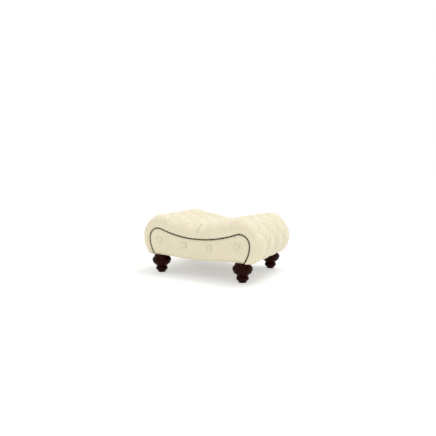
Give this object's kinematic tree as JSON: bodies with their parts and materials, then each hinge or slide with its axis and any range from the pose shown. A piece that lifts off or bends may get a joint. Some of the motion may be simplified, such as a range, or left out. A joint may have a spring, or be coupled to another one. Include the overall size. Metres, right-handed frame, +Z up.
{
  "type": "footstool",
  "caption": "Saddle-shaped buttoned leather footstool with rolled ends, padded nail-trimmed facings and turned bun legs.",
  "frame": {"origin": "on the floor, under the middle of the stool", "axes": "+X along the length, +Y towards the back, +Z up; the front facing looks along -Y"},
  "size_m": [0.8912, 0.598, 0.3993],
  "materials": {
    "cream_leather": "soft satin, fine grain",
    "button_leather": "soft satin, fine grain",
    "seat_foam": "open-cell foam",
    "wadding": "loose polyester wadding",
    "plywood": "sanded",
    "beech": "planed",
    "webbing": "woven",
    "hessian": "coarse weave",
    "dust_cloth": "matt weave",
    "mahogany": "dark stain, polished",
    "antique_brass": "antiqued",
    "zinc_steel": "zinc plated",
    "nylon": "moulded"
  },
  "bodies": {
    "root": {"seat_cover": "cream_leather", "seat_foam": "seat_foam", "front_facing": "cream_leather", "front_facing_wadding": "wadding", "front_nails": "antique_brass", "front_panel_buttons": "button_leather", "front_profile_board": "plywood", "front_rail": "beech", "back_facing": "cream_leather", "back_facing_wadding": "wadding", "back_nails": "antique_brass", "back_panel_buttons": "button_leather", "back_profile_board": "plywood", "back_rail": "beech", "left_end_rail": "beech", "left_end_board": "plywood", "left_crest_rail": "beech", "left_end_buttons": "button_leather", "right_end_rail": "beech", "right_end_board": "plywood", "right_crest_rail": "beech", "right_end_buttons": "button_leather", "top_buttons": "button_leather", "cross_rail": "beech", "front_left_leg_block": "beech", "front_left_leg": "mahogany", "front_right_leg_block": "beech", "front_right_leg": "mahogany", "back_left_leg_block": "beech", "back_left_leg": "mahogany", "back_right_leg_block": "beech", "back_right_leg": "mahogany", "leg_glides": "nylon", "hanger_bolts": "zinc_steel", "threaded_inserts": "zinc_steel", "lengthwise_webbing": "webbing", "crosswise_webbing": "webbing", "hessian": "hessian", "dust_cover": "dust_cloth", "frame_screws": "zinc_steel", "webbing_tacks": "zinc_steel", "dust_cover_tacks": "zinc_steel"}
  },
  "joints": []
}
